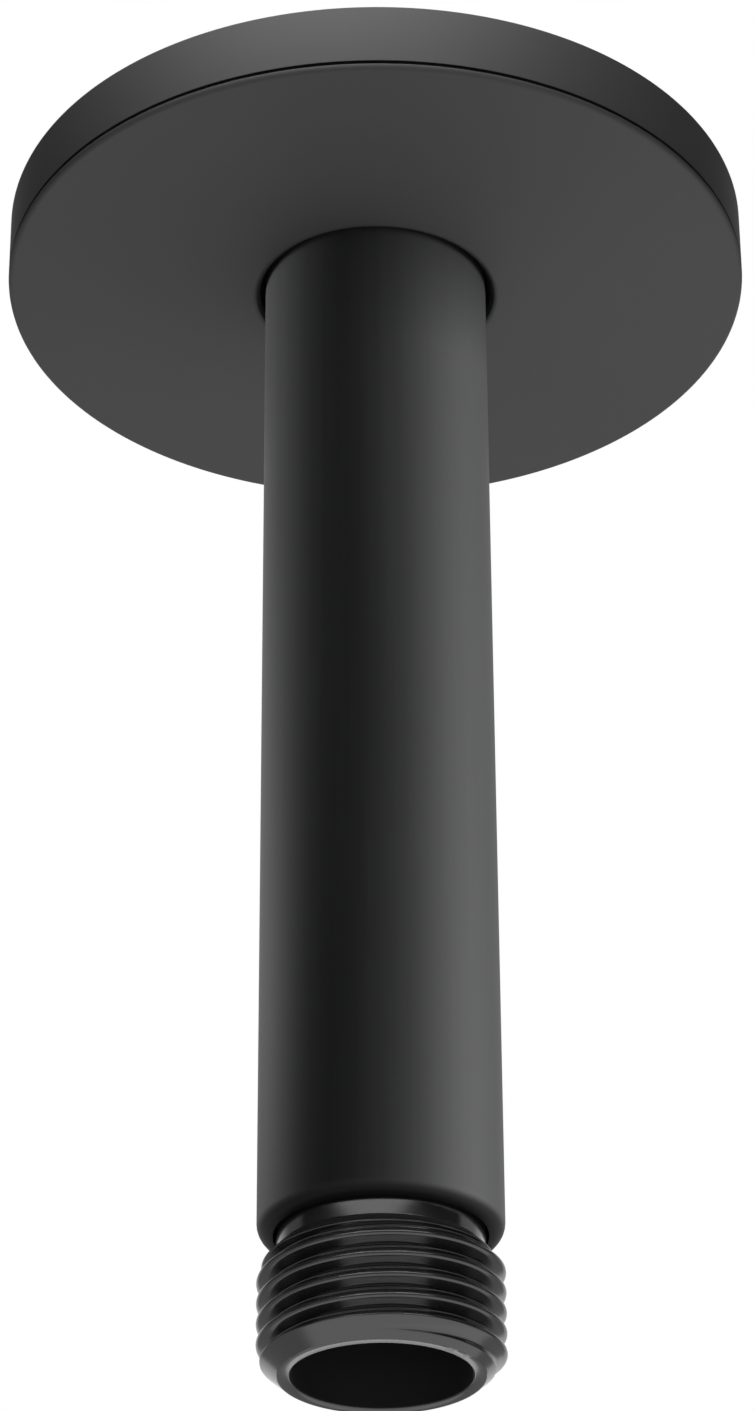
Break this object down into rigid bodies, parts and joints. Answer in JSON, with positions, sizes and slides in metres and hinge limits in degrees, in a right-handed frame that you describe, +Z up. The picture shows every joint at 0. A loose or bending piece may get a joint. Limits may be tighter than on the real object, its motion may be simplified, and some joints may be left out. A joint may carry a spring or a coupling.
{
  "type": "shower arm",
  "caption": "Straight ceiling shower arm: a tube with a threaded nipple at each end and a round cover flange that slides up to the ceiling.",
  "frame": {"origin": "centre of the flange's back face, which is the ceiling plane", "axes": "+Z up along the tube's axis, towards the inlet thread above the ceiling; the outlet is at -Z"},
  "size_m": [0.07, 0.07, 0.131],
  "materials": {
    "satin_black": "satin black coating on drawn and turned brass",
    "gloss_black": "thinner, glossier black coating on the turned and threaded nipples",
    "black_rubber": "matte"
  },
  "bodies": {
    "arm": {"arm_tube": "satin_black", "outlet_nipple": "gloss_black", "inlet_nipple": "gloss_black"},
    "seal": {"flange_ring": "black_rubber"},
    "cover": {"flange": "satin_black"}
  },
  "joints": [
    {"name": "flange_slide", "type": "slide", "parent": "arm", "child": "seal", "axis": [0, 0, -1], "range_m": [0, 0.09]},
    {"name": "flange_spin", "type": "hinge", "parent": "seal", "child": "cover", "pos_m": [0, 0, 0], "axis": [0, 0, 1], "continuous": true}
  ]
}
